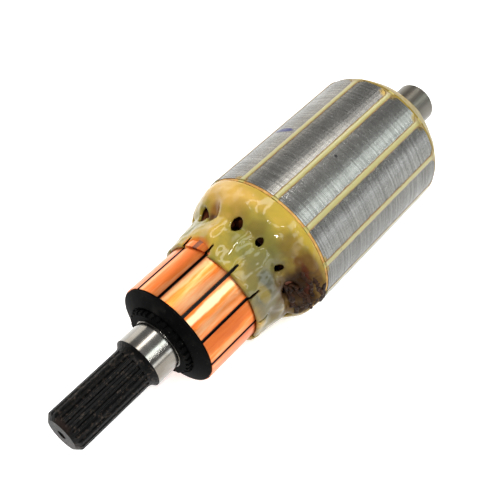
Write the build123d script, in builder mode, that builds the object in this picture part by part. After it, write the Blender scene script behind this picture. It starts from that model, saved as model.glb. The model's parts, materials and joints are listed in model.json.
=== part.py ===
"""Motor armature: the wound rotor of a commutator motor, lying with its shaft level.

Frame: +X runs along the shaft to the splined drive end and +Z is up. The origin is on
the shaft axis, at the middle of the front bearing seat. Lengths are in millimetres.
"""
import os
from math import atan2, cos, degrees, hypot, radians, sin, sqrt, tan
from typing import NamedTuple

from build123d import *

os.makedirs("parts", exist_ok=True)

# Bearing seats and the steps of the shaft
front_seat_radius = 8.5
front_seat_length = 8.4
rear_seat_drop = 1.5
rear_seat_length = 11.0
core_seat_rise = 0.25
commutator_seat_rise = 0.25
core_seat_overrun = 1.5
rear_land_length = 17.4
shaft_chamfer = 0.6
shoulder_drop = 0.5
shoulder_length = 2.6
shoulder_fall = 1.6
shoulder_curve_length = 1.0
shoulder_curve_drop = 1.05
centre_hole_radius = 1.6
centre_hole_depth = 2.8

# Splined drive end
spline_length = 26.8
spline_count = 20
spline_depth = 0.65
spline_land = 0.75
spline_root_gap = 0.6
spline_chamfer = 1.5

# Laminated core
core_radius = 25.5
lamination_thickness = 0.5
lamination_count = 121
slot_count = 12
slot_phase = 20.8
slot_mouth = 2.1
slot_lip = 1.2
slot_shoulder_drop = 1.0
slot_shoulder_width = 5.8
slot_bottom_radius = 1.3
yoke_share = 0.297

# Insulation of the core
disc_thickness = 0.8
disc_margin = 0.2
liner_thickness = 0.25
liner_overrun = 0.5
wedge_play = 0.7
wedge_foot = 0.4
wedge_sink = 0.1
liner_gap = 0.03

# Coils: the upper side lies in one slot, the lower side five slots further on
coil_span = 5
wedge_gap = 0.3
layer_gap = 0.95
upper_side_share = 0.434
side_play = 0.05
upper_side_growth = 0.8
turn_layer_gap = 0.9
turn_gap = 0.8
turn_start_gap = 0.1
turn_bend = 2.2
turn_bend_reach = 1.2
turn_bend_arc = 5.3
turn_reach = 6.6
knuckle_overrun = 1.2
turn_steps = 3
turn_margin = 9.0
helix_heading = 76.0
bend_heading = 40.0
upper_turn_drop = 1.7
lower_turn_drop = 1.425
rear_bend_dip = 1.0
rear_turn_share = 0.424
rear_layer_gap = 0.6
rear_helix_heading = 66.0
rear_height_share = 0.95
rear_knuckle_overrun = 1.8

# Commutator
bar_radius = 17.5
bar_foot_gap = 1.6
track_length = 19.4
nose_height = 4.2
riser_rise = 0.7
riser_length = 2.6
riser_neck_share = 0.25
slit_width = 0.75
slit_depth = 0.9
front_groove_depth = 2.6
front_groove_share = 0.49
front_lip_height = 1.5
front_foot_overhang = 1.4
rear_groove_depth = 0.4
rear_foot_overhang = 1.2
bush_wall = 1.45
bush_nose_cover = 2.7
hub_tail = 1.9

# Front of the moulded hub
hub_rim_inset = 0.3
hub_rim_height = 0.5
hub_face_step = 0.8
hub_face_height = 2.4
collar_taper = 0.9
collar_groove = 0.4
collar_wall = 1.95
collar_rib_count = 30
collar_rib_gap = 1.1
collar_rib_depth = 0.7

# Leads between the coils and the bars
lead_floor = 0.6875
lead_play = 0.05
lead_knuckle_lap = 0.3
lead_bend_reach = 3.6
lead_bend_share = 0.25
lead_reach = 22.4

# Resin over both ends of the winding
resin_foot_inset = 0.2
resin_wall = 1.2
resin_belly_lag = 1.2
resin_belly_drop = 1.3
resin_neck_overrun = 3.0
resin_neck_gap = 0.2875
resin_cover = 0.7
resin_lip = 0.6
resin_edge = 0.4
resin_gap = 0.1
valley_radius = 2.4
valley_depth = 0.5
vent_station = 12.0
vent_places = ((10.7, 4.4), (2.7, 2.2), (1.7, 2.4), (-2.8, 3.8))
slit_overrun = 4.3
rear_wall = 1.0
rear_bulge = 1.2
rear_crown_gap = 0.5
rear_crown_drop = 0.4
rear_throat_gap = 0.4
rear_throat_depth = 1.9
rear_throat_dip = 0.6
rear_throat_reach = 4.5

# Angles shared by the slots, the bars and the windings
pitch = 360 / slot_count
slit_phase = slot_phase - pitch / 2
span_angle = coil_span * pitch
half_turn = span_angle / 2

# Radii, from the shaft outwards
commutator_seat_radius = front_seat_radius + commutator_seat_rise
core_seat_radius = commutator_seat_radius + core_seat_rise
rear_seat_radius = core_seat_radius - rear_seat_drop
spline_tip_radius = front_seat_radius - shoulder_fall
bush_radius = commutator_seat_radius + bush_wall
bar_foot_radius = bush_radius + bar_foot_gap
riser_neck_radius = bar_foot_radius + riser_neck_share * (bar_radius - bar_foot_radius)
front_groove_radius = bar_foot_radius + front_groove_share * (bar_radius - bar_foot_radius)
riser_radius = bar_radius + riser_rise
collar_top_radius = commutator_seat_radius + collar_wall
collar_radius = collar_top_radius + collar_taper
hub_face_radius = collar_radius + hub_face_step
hub_rim_radius = bar_radius - hub_rim_inset
lead_size = (riser_radius - riser_neck_radius) / 2 - lead_floor

# Slot: from its round bottom to the wedge that closes it, and the two coil sides in it
core_yoke = yoke_share * (core_radius - core_seat_radius)
slot_bottom_station = core_seat_radius + core_yoke + slot_bottom_radius
lip_radius = core_radius - slot_lip
slot_shoulder_radius = lip_radius - slot_shoulder_drop
wedge_floor = slot_shoulder_radius - wedge_foot
wedge_width = slot_shoulder_width - 2 * liner_thickness - wedge_play
side_room = wedge_floor - wedge_gap - layer_gap - slot_bottom_station
upper_side_height = upper_side_share * side_room
lower_side_height = side_room - upper_side_height
upper_side_radius = wedge_floor - wedge_gap - upper_side_height / 2
lower_side_radius = slot_bottom_station + lower_side_height / 2
lower_side_width = 2 * (slot_bottom_radius - liner_thickness - side_play)
upper_side_width = lower_side_width + upper_side_growth

# End turns: the two layers, and the width that lets neighbours lie side by side
upper_turn_radius = upper_side_radius - upper_turn_drop
lower_turn_radius = lower_side_radius - lower_turn_drop
turn_height = upper_turn_radius - lower_turn_radius - turn_layer_gap
turn_start = disc_thickness + liner_overrun + turn_start_gap
turn_knuckle_reach = turn_reach + knuckle_overrun
helix_rise = turn_reach - turn_bend
helix_sweep = radians(half_turn - turn_margin) - turn_bend_arc / lower_side_radius
helix_length = hypot(helix_rise, helix_sweep * lower_turn_radius)
turn_width = radians(pitch) * lower_turn_radius * helix_rise / helix_length - turn_gap

# Rear end turns: the same layers, leaning in towards the shaft as a cone
rear_lower_turn_radius = core_seat_radius + rear_turn_share * (lower_side_radius - core_seat_radius)
rear_turn_fall = lower_side_radius - rear_bend_dip - rear_lower_turn_radius
rear_turn_lean = degrees(atan2(rear_turn_fall, helix_rise))
rear_turn_height = rear_height_share * turn_height * cos(radians(rear_turn_lean))
rear_turn_width = turn_width / cos(radians(rear_turn_lean))
rear_layer_rise = (rear_turn_height + rear_layer_gap) / cos(radians(rear_turn_lean))
rear_upper_turn_radius = rear_lower_turn_radius + rear_layer_rise
rear_knuckle_reach = turn_reach + rear_knuckle_overrun

# Leads: the two that end one above the other in the slot of a riser
upper_lead_radius = riser_radius - lead_play - lead_size / 2
lower_lead_radius = upper_lead_radius - lead_size - lead_play
lead_bend_radius = upper_lead_radius + (upper_turn_radius - upper_lead_radius) * lead_bend_share
lead_start = turn_start + turn_knuckle_reach - lead_knuckle_lap
lead_bend_station = lead_start + lead_bend_reach

# Resin: its radii and its reach beyond the end faces of the core
resin_foot_radius = core_radius - resin_foot_inset
resin_belly_radius = resin_foot_radius - resin_belly_drop
resin_front_radius = riser_radius + resin_cover
resin_neck_radius = lead_bend_radius + lead_size / 2 + resin_neck_gap + resin_wall
resin_belly_station = turn_start + turn_reach - resin_belly_lag
resin_neck_station = turn_start + turn_knuckle_reach + resin_neck_overrun
rear_knuckle_size = rear_turn_height * sin(radians(rear_turn_lean)) + turn_width
rear_crown_inset = turn_start + rear_knuckle_reach + rear_knuckle_size / 2 + rear_crown_gap
rear_crown_radius = (rear_upper_turn_radius + rear_lower_turn_radius) / 2 - rear_crown_drop
rear_throat_radius = core_seat_radius + rear_throat_gap

# Stations along the shaft, from the front seat backwards
nose_face = -front_seat_length / 2
bar_front = nose_face - nose_height
riser_front = bar_front - track_length - resin_lip
riser_rear = riser_front - riser_length
core_front = riser_rear - lead_reach
stack_length = lamination_thickness * lamination_count
core_rear = core_front - stack_length
rear_shoulder = core_rear - rear_land_length
rear_tip = rear_shoulder - rear_seat_length
shoulder_front = front_seat_length / 2
spline_start = shoulder_front + shoulder_length
spline_tip = spline_start + spline_length
seat_step = core_front + disc_thickness + core_seat_overrun
hub_rear = riser_rear - hub_tail


def finish(part, name):
    """Label one piece and write it under its own name."""
    part.label = name
    export_step(part, f"parts/{name}.step")


# Shaft: one turned piece, revolved from its half section
with BuildPart() as shaft:
    with BuildSketch(Plane.XY):
        with BuildLine():
            seat_line = Polyline(
                (rear_tip, 0),
                (rear_tip, rear_seat_radius - shaft_chamfer),
                (rear_tip + shaft_chamfer, rear_seat_radius),
                (rear_shoulder, rear_seat_radius),
                (rear_shoulder, core_seat_radius - shoulder_drop),
                (rear_shoulder + shoulder_drop, core_seat_radius),
                (seat_step, core_seat_radius),
                (seat_step, commutator_seat_radius),
                (nose_face, commutator_seat_radius),
                (nose_face, front_seat_radius),
                (shoulder_front, front_seat_radius),
            )
            shoulder = ThreePointArc(
                seat_line @ 1,
                (shoulder_front + shoulder_curve_length, front_seat_radius - shoulder_curve_drop),
                (spline_start, spline_tip_radius),
            )
            Polyline(
                shoulder @ 1,
                (spline_tip - spline_chamfer, spline_tip_radius),
                (spline_tip, spline_tip_radius - spline_chamfer),
                (spline_tip, 0),
                (rear_tip, 0),
            )
        make_face()
    revolve(axis=Axis.X)
    with BuildSketch(Plane.YZ.offset(spline_tip)):
        with PolarLocations(0, spline_count):
            with Locations((spline_tip_radius - spline_depth / 2, 0)):
                groove_mouth = 2 * spline_tip_radius * sin(radians(180 / spline_count)) - spline_land
                Polygon(
                    (-spline_depth / 2, -spline_root_gap / 2),
                    (spline_depth, -groove_mouth / 2 - spline_depth / 4),
                    (spline_depth, groove_mouth / 2 + spline_depth / 4),
                    (-spline_depth / 2, spline_root_gap / 2),
                    align=None,
                )
    extrude(amount=-spline_length, mode=Mode.SUBTRACT)
    with BuildSketch(Plane.XY):
        for tip, inward in ((spline_tip, -1), (rear_tip, 1)):
            with BuildLine():
                Polyline(
                    (tip, 0),
                    (tip, centre_hole_radius),
                    (tip + inward * centre_hole_depth, 0),
                    close=True,
                )
            make_face()
    revolve(axis=Axis.X, mode=Mode.SUBTRACT)
finish(shaft.part, "shaft")


# Slot form: local x runs outwards, the mouth breaks through the rim
with BuildSketch() as slot_pocket:
    with BuildLine():
        pocket_arc = ThreePointArc(
            (slot_bottom_station, slot_bottom_radius),
            (slot_bottom_station - slot_bottom_radius, 0),
            (slot_bottom_station, -slot_bottom_radius),
        )
        Polyline(
            pocket_arc @ 1,
            (slot_shoulder_radius, -slot_shoulder_width / 2),
            (lip_radius, -slot_mouth / 2),
            (lip_radius, slot_mouth / 2),
            (slot_shoulder_radius, slot_shoulder_width / 2),
            pocket_arc @ 0,
        )
    make_face()
with BuildSketch() as slot_form:
    add(slot_pocket.sketch)
    with Locations((lip_radius, 0)):
        Rectangle(2 * slot_lip, slot_mouth)


def slotted_disc(rim_radius):
    """Draw a round sheet on the shaft with a slot at every pitch."""
    Circle(rim_radius)
    Circle(core_seat_radius, mode=Mode.SUBTRACT)
    with PolarLocations(0, slot_count, start_angle=slot_phase):
        add(slot_form.sketch, mode=Mode.SUBTRACT)


# Core: the packed laminations as one block, pressed on the shaft
with BuildPart() as lamination_stack:
    with BuildSketch(Plane.YZ.offset(core_front)):
        slotted_disc(core_radius)
    extrude(amount=-stack_length)
finish(lamination_stack.part, "lamination_stack")

# Insulating discs on both end faces of the core
with BuildPart() as front_end_disc:
    with BuildSketch(Plane.YZ.offset(core_front)):
        slotted_disc(core_radius - disc_margin)
    extrude(amount=disc_thickness)
finish(front_end_disc.part, "front_end_disc")

with BuildPart() as rear_end_disc:
    with BuildSketch(Plane.YZ.offset(core_rear)):
        slotted_disc(core_radius - disc_margin)
    extrude(amount=-disc_thickness)
finish(rear_end_disc.part, "rear_end_disc")

# Slot liners: paper round the walls of each slot, open at the mouth
with BuildSketch() as liner_form:
    add(slot_pocket.sketch)
    offset(slot_pocket.sketch, amount=-liner_thickness, kind=Kind.INTERSECTION, mode=Mode.SUBTRACT)
    with Locations((lip_radius, 0)):
        Rectangle(2 * slot_shoulder_drop, slot_mouth + 2 * liner_gap, mode=Mode.SUBTRACT)
with BuildPart() as slot_liners:
    with BuildSketch(Plane.YZ.offset(core_front + disc_thickness + liner_overrun)):
        with PolarLocations(0, slot_count, start_angle=slot_phase):
            add(liner_form.sketch)
    extrude(amount=-stack_length - 2 * (disc_thickness + liner_overrun))
finish(slot_liners.part, "slot_liners")

# Wedges: each fills a slot mouth and is held by the lips of the teeth
wedge_slope = 2 * slot_shoulder_drop / (slot_shoulder_width - slot_mouth)
wedge_lay = (liner_thickness + liner_gap) * sqrt(1 + wedge_slope**2)
wedge_neck = lip_radius - wedge_lay
wedge_corner = wedge_neck - wedge_slope * (wedge_width - slot_mouth) / 2
for index in range(slot_count):
    with BuildPart() as slot_wedge:
        with BuildSketch(Plane.YZ.offset(core_front + disc_thickness)):
            with PolarLocations(0, 1, start_angle=slot_phase + index * pitch):
                Polygon(
                    (core_radius - wedge_sink, slot_mouth / 2),
                    (wedge_neck, slot_mouth / 2),
                    (wedge_corner, wedge_width / 2),
                    (wedge_floor, wedge_width / 2),
                    (wedge_floor, -wedge_width / 2),
                    (wedge_corner, -wedge_width / 2),
                    (wedge_neck, -slot_mouth / 2),
                    (core_radius - wedge_sink, -slot_mouth / 2),
                    align=None,
                )
        extrude(amount=-stack_length - 2 * disc_thickness)
    finish(slot_wedge.part, f"slot_wedge_{index + 1:02d}")


def bundle_plane(station, radius, angle, heading, lean=0.0):
    """Plane across a bundle of wires.

    Local x points outwards, turned by lean towards +X. A heading of 0 runs along +X and one of
    90 round the shaft.
    """
    straight_out = Vector(0, cos(radians(angle)), sin(radians(angle)))
    around = Vector(0, -sin(radians(angle)), cos(radians(angle)))
    level = Vector(1, 0, 0)
    outward = straight_out * cos(radians(lean)) + level * sin(radians(lean))
    backward = level * cos(radians(lean)) - straight_out * sin(radians(lean))
    along = backward * cos(radians(heading)) + around * sin(radians(heading))
    return Plane(origin=level * station + straight_out * radius, x_dir=outward, z_dir=along)


class TurnShape(NamedTuple):
    """How the end turns lie beyond one end of the core; way is 1 in front and -1 at the rear."""

    way: int
    slot_end: float
    upper_radius: float
    lower_radius: float
    bend_dip: float
    lean: float
    heading: float
    knuckle_reach: float
    height: float
    width: float


front_turns = TurnShape(
    way=1,
    slot_end=core_front + turn_start,
    upper_radius=upper_turn_radius,
    lower_radius=lower_turn_radius,
    bend_dip=0.0,
    lean=0.0,
    heading=helix_heading,
    knuckle_reach=turn_knuckle_reach,
    height=turn_height,
    width=turn_width,
)
rear_turns = TurnShape(
    way=-1,
    slot_end=core_rear - turn_start,
    upper_radius=rear_upper_turn_radius,
    lower_radius=rear_lower_turn_radius,
    bend_dip=rear_bend_dip,
    lean=rear_turn_lean,
    heading=rear_helix_heading,
    knuckle_reach=rear_knuckle_reach,
    height=rear_turn_height,
    width=rear_turn_width,
)


def quarter_turn(shape, side_radius, turn_radius, layer):
    """Stations of an end turn from a slot to just before the knuckle.

    Each station is (reach beyond the slot end, radius, angle from the slot, heading off the
    shaft, lean, width). layer is 1 for the upper one, which leads round the shaft, and -1 for
    the lower.
    """
    bend_radius = side_radius - shape.bend_dip
    bend_angle = degrees(turn_bend / side_radius)
    helix_angle = degrees(turn_bend_arc / side_radius)
    last_angle = half_turn - turn_margin
    middle_radius = (side_radius + bend_radius) / 2
    bend = (turn_bend_reach, middle_radius, layer * bend_angle, layer * bend_heading)
    stations = [(*bend, shape.lean / 2, turn_width)]
    for step in range(turn_steps + 1):
        share = step / turn_steps
        reach = turn_bend + (turn_reach - turn_bend) * share
        radius = bend_radius + (turn_radius - bend_radius) * share
        angle = helix_angle + (last_angle - helix_angle) * share
        width = turn_width + (shape.width - turn_width) * share
        stations.append((reach, radius, layer * angle, layer * shape.heading, shape.lean, width))
    return stations


def end_turn(shape, upper_angle):
    """Bundle planes and widths of one end turn, from the upper slot side to the lower one."""
    lower_angle = upper_angle + span_angle
    upper_stations = quarter_turn(shape, upper_side_radius, shape.upper_radius, 1)
    lower_stations = quarter_turn(shape, lower_side_radius, shape.lower_radius, -1)
    sections = []
    for reach, radius, angle, heading, lean, width in upper_stations:
        station = shape.slot_end + shape.way * reach
        turned = heading if shape.way > 0 else 180 - heading
        plane = bundle_plane(station, radius, upper_angle + angle, turned, shape.way * lean)
        sections.append((plane, width))
    knuckle_station = shape.slot_end + shape.way * shape.knuckle_reach
    knuckle_radius = (shape.upper_radius + shape.lower_radius) / 2
    knuckle_angle = upper_angle + half_turn
    plane = bundle_plane(knuckle_station, knuckle_radius, knuckle_angle, 90, shape.way * shape.lean)
    sections.append((plane, shape.width))
    for reach, radius, angle, heading, lean, width in reversed(lower_stations):
        station = shape.slot_end + shape.way * reach
        turned = 180 + heading if shape.way > 0 else -heading
        plane = bundle_plane(station, radius, lower_angle + angle, turned, shape.way * lean)
        sections.append((plane, width))
    return sections


# Coils: two straight sides in the slots, joined beyond each end of the core by an end turn
for index in range(slot_count):
    upper_angle = slot_phase + index * pitch
    lower_angle = upper_angle + span_angle
    with BuildPart() as coil:
        for shape, outward, inward in ((front_turns, 0, 180), (rear_turns, 180, 0)):
            with BuildSketch(bundle_plane(shape.slot_end, upper_side_radius, upper_angle, outward)):
                Rectangle(upper_side_height, upper_side_width)
            for plane, width in end_turn(shape, upper_angle):
                with BuildSketch(plane):
                    Rectangle(shape.height, width)
            with BuildSketch(bundle_plane(shape.slot_end, lower_side_radius, lower_angle, inward)):
                Rectangle(lower_side_height, lower_side_width)
            loft(ruled=True)
        with BuildSketch(bundle_plane(front_turns.slot_end, upper_side_radius, upper_angle, 180)):
            Rectangle(upper_side_height, upper_side_width)
        with BuildSketch(bundle_plane(front_turns.slot_end, lower_side_radius, lower_angle, 180)):
            Rectangle(lower_side_height, lower_side_width)
        extrude(amount=front_turns.slot_end - rear_turns.slot_end)
    finish(coil.part, f"coil_{index + 1:02d}")

# Commutator outline in the half section, from the front lip round under the feet to the riser
foot_line = (
    (bar_front, bar_radius - front_lip_height),
    (bar_front - front_groove_depth, front_groove_radius),
    (bar_front - front_groove_depth + front_foot_overhang, bar_foot_radius),
    (riser_front + rear_groove_depth - rear_foot_overhang, bar_foot_radius),
    (riser_front + rear_groove_depth, riser_neck_radius),
    (riser_rear, riser_neck_radius),
)

# Bars: each a sector of the copper ring, with its foot, riser and the slot for two leads
wedge_apex = slit_width / 2 / sin(radians(pitch / 2))
wedge_far = riser_radius + riser_length
lead_slot_floor = riser_radius - 2 * lead_size - 4 * lead_play
for index in range(slot_count):
    bar_angle = slot_phase + index * pitch
    with BuildPart() as commutator_bar:
        with BuildSketch(Plane.XY):
            with BuildLine():
                Polyline(
                    (bar_front, bar_radius),
                    *foot_line,
                    (riser_rear, riser_radius),
                    (riser_front, riser_radius),
                    (riser_front, bar_radius),
                    close=True,
                )
            make_face()
        revolve(axis=Axis.X)
        with BuildSketch(Plane.YZ.offset(riser_rear)):
            with PolarLocations(0, 1, start_angle=bar_angle):
                half_spread = (wedge_far - wedge_apex) * tan(radians(pitch / 2))
                Polygon((wedge_apex, 0), (wedge_far, half_spread), (wedge_far, -half_spread), align=None)
        extrude(amount=bar_front - riser_rear, mode=Mode.INTERSECT)
        with BuildSketch(Plane.YZ.offset(riser_rear)):
            with PolarLocations(0, 1, start_angle=bar_angle):
                with Locations((lead_slot_floor, 0)):
                    Rectangle(
                        riser_radius,
                        lead_size + 2 * lead_play,
                        align=(Align.MIN, Align.CENTER),
                    )
        extrude(amount=riser_length, mode=Mode.SUBTRACT)
    finish(commutator_bar.part, f"commutator_bar_{index + 1:02d}")

# Mica sheets between the bars, cut back below the copper
mica_radius = bar_radius - slit_depth
with BuildPart() as mica_segments:
    with BuildSketch(Plane.XY):
        with BuildLine():
            Polyline((bar_front, mica_radius), *foot_line, (riser_rear, mica_radius), close=True)
        make_face()
    revolve(axis=Axis.X)
    with BuildSketch(Plane.YZ.offset(riser_rear)):
        with PolarLocations(0, slot_count, start_angle=slit_phase):
            Rectangle(bar_radius, slit_width, align=(Align.MIN, Align.CENTER))
    extrude(amount=bar_front - riser_rear, mode=Mode.INTERSECT)
finish(mica_segments.part, "mica_segments")

# Steel bush of the commutator, pressed on the shaft
bush_front = nose_face - bush_nose_cover
with BuildPart() as commutator_bush:
    with BuildSketch(Plane.YZ.offset(hub_rear)):
        Circle(bush_radius)
        Circle(commutator_seat_radius, mode=Mode.SUBTRACT)
    extrude(amount=bush_front - hub_rear)
finish(commutator_bush.part, "commutator_bush")

# Moulded hub: grips the feet of the bars, covers their front ends and carries a ribbed collar
face_station = bar_front + hub_face_height
with BuildPart() as commutator_hub:
    with BuildSketch(Plane.XY):
        with BuildLine():
            Polyline(
                (hub_rear, bush_radius),
                (hub_rear, riser_neck_radius),
                *reversed(foot_line),
                (bar_front, hub_rim_radius),
                (bar_front + hub_rim_height, hub_rim_radius),
                (face_station, hub_face_radius),
                (face_station - collar_groove, collar_radius),
                (nose_face - collar_groove, collar_radius),
                (nose_face, collar_top_radius),
                (nose_face, commutator_seat_radius),
                (bush_front, commutator_seat_radius),
                (bush_front, bush_radius),
                close=True,
            )
        make_face()
    revolve(axis=Axis.X)
    with BuildSketch(Plane.YZ.offset(nose_face)):
        with PolarLocations(0, collar_rib_count):
            with Locations((collar_radius, 0)):
                Rectangle(2 * collar_rib_depth, collar_rib_gap)
    extrude(amount=face_station - collar_groove - nose_face, mode=Mode.SUBTRACT)
finish(commutator_hub.part, "commutator_hub")

# Leads: an upper and a lower one for each bar, from the end turns into the riser slot
lead_end = riser_front - lead_play
with BuildPart() as coil_leads:
    for index in range(slot_count):
        lead_angle = slot_phase + index * pitch
        for turn_radius, end_radius in (
            (upper_turn_radius, upper_lead_radius),
            (lower_turn_radius, lower_lead_radius),
        ):
            bend_radius = end_radius + (turn_radius - end_radius) * lead_bend_share
            for station, radius in (
                (core_front + lead_start, turn_radius),
                (core_front + lead_bend_station, bend_radius),
                (riser_rear, end_radius),
                (lead_end, end_radius),
            ):
                with BuildSketch(bundle_plane(station, radius, lead_angle, 0)):
                    Rectangle(lead_size, lead_size)
            loft(ruled=True)
finish(coil_leads.part, "coil_leads")

# Front resin: a shell over the end turns that narrows over the leads to the bars
resin_foot = core_front + disc_thickness
inner_foot_radius = lip_radius + resin_gap
neck_inner_radius = resin_neck_radius - resin_wall
riser_cover = riser_radius + resin_gap
lip_front = riser_front + resin_lip
with BuildPart() as resin_front:
    with BuildSketch(Plane.XY):
        with BuildLine():
            belly = ThreePointArc(
                (resin_foot, resin_foot_radius),
                (core_front + resin_belly_station, resin_belly_radius),
                (core_front + resin_neck_station, resin_neck_radius),
            )
            neck = Polyline(
                belly @ 1,
                (lip_front - resin_edge, resin_front_radius),
                (lip_front, resin_front_radius - resin_edge),
                (lip_front, bar_radius),
                (riser_front + resin_gap, bar_radius),
                (riser_front + resin_gap, riser_cover),
                (riser_rear - resin_gap, riser_cover),
                (core_front + resin_neck_station, neck_inner_radius),
            )
            inner_belly = ThreePointArc(
                neck @ 1,
                (core_front + resin_belly_station, resin_belly_radius - resin_wall),
                (resin_foot, inner_foot_radius),
            )
            Line(inner_belly @ 1, belly @ 0)
        make_face()
    revolve(axis=Axis.X)
    valley_length = lip_front - core_front - resin_neck_station
    valley_plane = Plane.YZ.offset(lip_front)
    with BuildSketch(valley_plane):
        with PolarLocations(0, slot_count, start_angle=slit_phase):
            with Locations((resin_neck_radius - valley_depth + valley_radius, 0)):
                Circle(valley_radius)
    extrude(amount=-valley_length, mode=Mode.SUBTRACT)
    for index in range(slot_count):
        lean, width = vent_places[index % len(vent_places)]
        vent_angle = slit_phase + index * pitch + lean
        vent_outward = Vector(0, cos(radians(vent_angle)), sin(radians(vent_angle)))
        vent_start = Vector(core_front + vent_station, 0, 0)
        vent_origin = vent_start + vent_outward * (neck_inner_radius - resin_wall)
        with BuildSketch(Plane(origin=vent_origin, x_dir=(1, 0, 0), z_dir=vent_outward)):
            Circle(width / 2)
        extrude(amount=3 * resin_wall + resin_belly_radius - resin_neck_radius, mode=Mode.SUBTRACT)
    with BuildSketch(Plane.YZ.offset(lip_front)):
        with PolarLocations(0, slot_count, start_angle=slit_phase):
            with Locations((bar_radius - slit_depth, 0)):
                Rectangle(
                    resin_neck_radius - bar_radius + 2 * slit_depth,
                    slit_width,
                    align=(Align.MIN, Align.CENTER),
                )
    extrude(amount=-slit_overrun, mode=Mode.SUBTRACT)
finish(resin_front.part, "resin_front")

# Rear resin: a shell round the rear end turns, open to the shaft in the middle
rear_foot = core_rear - disc_thickness
inner_crown = core_rear - rear_crown_inset
rear_crown = inner_crown - rear_wall
rear_belly = (rear_foot + rear_crown) / 2
rear_belly_radius = (resin_foot_radius + rear_crown_radius) / 2 + rear_bulge
belly_wall = rear_wall / cos(radians(rear_turn_lean))
throat_start = rear_crown + rear_throat_reach
throat_bend = (rear_crown_radius + rear_throat_radius) / 2 - rear_throat_dip
with BuildPart() as resin_rear:
    with BuildSketch(Plane.XY):
        with BuildLine():
            back = ThreePointArc(
                (rear_foot, resin_foot_radius),
                (rear_belly, rear_belly_radius),
                (rear_crown, rear_crown_radius),
            )
            throat = ThreePointArc(
                back @ 1,
                (rear_crown + rear_throat_depth, throat_bend),
                (throat_start, rear_throat_radius),
            )
            foot = Polyline(
                throat @ 1,
                (rear_foot, rear_throat_radius),
                (rear_foot, rear_throat_radius + rear_wall),
                (throat_start, rear_throat_radius + rear_wall),
            )
            inner_throat = ThreePointArc(
                foot @ 1,
                (rear_crown + rear_throat_depth + rear_wall / 2, throat_bend + rear_wall),
                (inner_crown, rear_crown_radius),
            )
            inner_back = ThreePointArc(
                inner_throat @ 1,
                (rear_belly, rear_belly_radius - belly_wall),
                (rear_turns.slot_end, inner_foot_radius),
            )
            Polyline(inner_back @ 1, (rear_foot, inner_foot_radius), back @ 0)
        make_face()
    revolve(axis=Axis.X)
finish(resin_rear.part, "resin_rear")
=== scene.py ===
"""Looks of the motor armature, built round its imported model.

The armature lies along X with its splined drive end towards +X. Lengths below are in
millimetres and angles in degrees, counted round the shaft from +Y towards +Z, until a
mesh or a light is made, which is in metres.
"""

import json
import logging
import math
from collections.abc import Iterator
from contextlib import contextmanager
from dataclasses import dataclass, field
from enum import Enum
from functools import cached_property
from typing import ClassVar

import bpy
import numpy as np
from mathutils import Matrix, Vector, kdtree, noise

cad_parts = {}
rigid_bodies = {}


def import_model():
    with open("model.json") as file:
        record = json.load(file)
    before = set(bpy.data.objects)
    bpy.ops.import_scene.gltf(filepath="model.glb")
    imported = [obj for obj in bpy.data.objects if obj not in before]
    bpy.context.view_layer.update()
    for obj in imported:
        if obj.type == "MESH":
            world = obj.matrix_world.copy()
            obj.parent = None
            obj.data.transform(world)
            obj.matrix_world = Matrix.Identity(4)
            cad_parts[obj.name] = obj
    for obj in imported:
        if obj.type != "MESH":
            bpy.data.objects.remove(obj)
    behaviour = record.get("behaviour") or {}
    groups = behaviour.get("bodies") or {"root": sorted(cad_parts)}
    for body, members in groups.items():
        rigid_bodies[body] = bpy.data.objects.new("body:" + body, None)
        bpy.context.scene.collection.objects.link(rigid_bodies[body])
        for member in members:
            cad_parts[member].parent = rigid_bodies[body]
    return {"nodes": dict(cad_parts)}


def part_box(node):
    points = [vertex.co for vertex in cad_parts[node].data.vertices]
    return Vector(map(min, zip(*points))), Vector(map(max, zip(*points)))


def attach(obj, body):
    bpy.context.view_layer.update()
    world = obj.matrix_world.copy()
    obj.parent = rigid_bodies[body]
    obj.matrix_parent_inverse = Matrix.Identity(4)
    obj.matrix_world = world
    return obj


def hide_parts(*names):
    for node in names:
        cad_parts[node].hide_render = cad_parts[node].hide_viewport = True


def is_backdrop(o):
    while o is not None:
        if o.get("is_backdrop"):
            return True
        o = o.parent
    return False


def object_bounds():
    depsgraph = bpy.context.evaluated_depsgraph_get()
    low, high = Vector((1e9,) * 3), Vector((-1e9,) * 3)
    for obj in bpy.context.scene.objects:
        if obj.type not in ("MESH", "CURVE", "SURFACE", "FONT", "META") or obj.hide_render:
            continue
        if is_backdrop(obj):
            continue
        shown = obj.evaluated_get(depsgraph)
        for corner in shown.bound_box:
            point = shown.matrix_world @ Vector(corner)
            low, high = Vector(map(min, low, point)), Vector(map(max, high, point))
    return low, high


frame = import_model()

Socket = bpy.types.NodeSocket
Piece = bpy.types.Object
Material = bpy.types.Material

LOG = logging.getLogger("armature")
MM = 0.001
BODY = "root"
CORE_NODE = "lamination_stack"
FULL_TURN = 360.0
SLOT_COUNT = 12
PITCH = FULL_TURN / SLOT_COUNT
SLOT_PHASE = 20.8
LAMINATION = 0.5
CAST_WELD = 0.002
VOXEL = 0.33
BURN_STATION = -46.5
BURN_TURN = 6.0
BURN_REACH = 5.6
BURN_SPREAD = 26.0


class Slot(Enum):
    """Material slots of the record."""

    CORE = "core_steel"
    RESIN = "winding_resin"
    COPPER = "winding_copper"


class Side(Enum):
    """The two ends of the core."""

    FRONT = 1
    REAR = -1


@dataclass(frozen=True)
class Extent:
    """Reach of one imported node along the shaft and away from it, in millimetres."""

    rear: float
    front: float
    radius: float

    @classmethod
    def of(cls, node: str) -> "Extent":
        """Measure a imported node.

        Args:
            node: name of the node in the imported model.

        Returns:
            Its lowest and highest station on the shaft and its outer radius.
        """
        low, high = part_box(node)
        coords = mesh_points(frame["nodes"][node])
        radius = float(np.hypot(coords[:, 1], coords[:, 2]).max())
        return cls(low.x / MM, high.x / MM, radius / MM)


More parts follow.
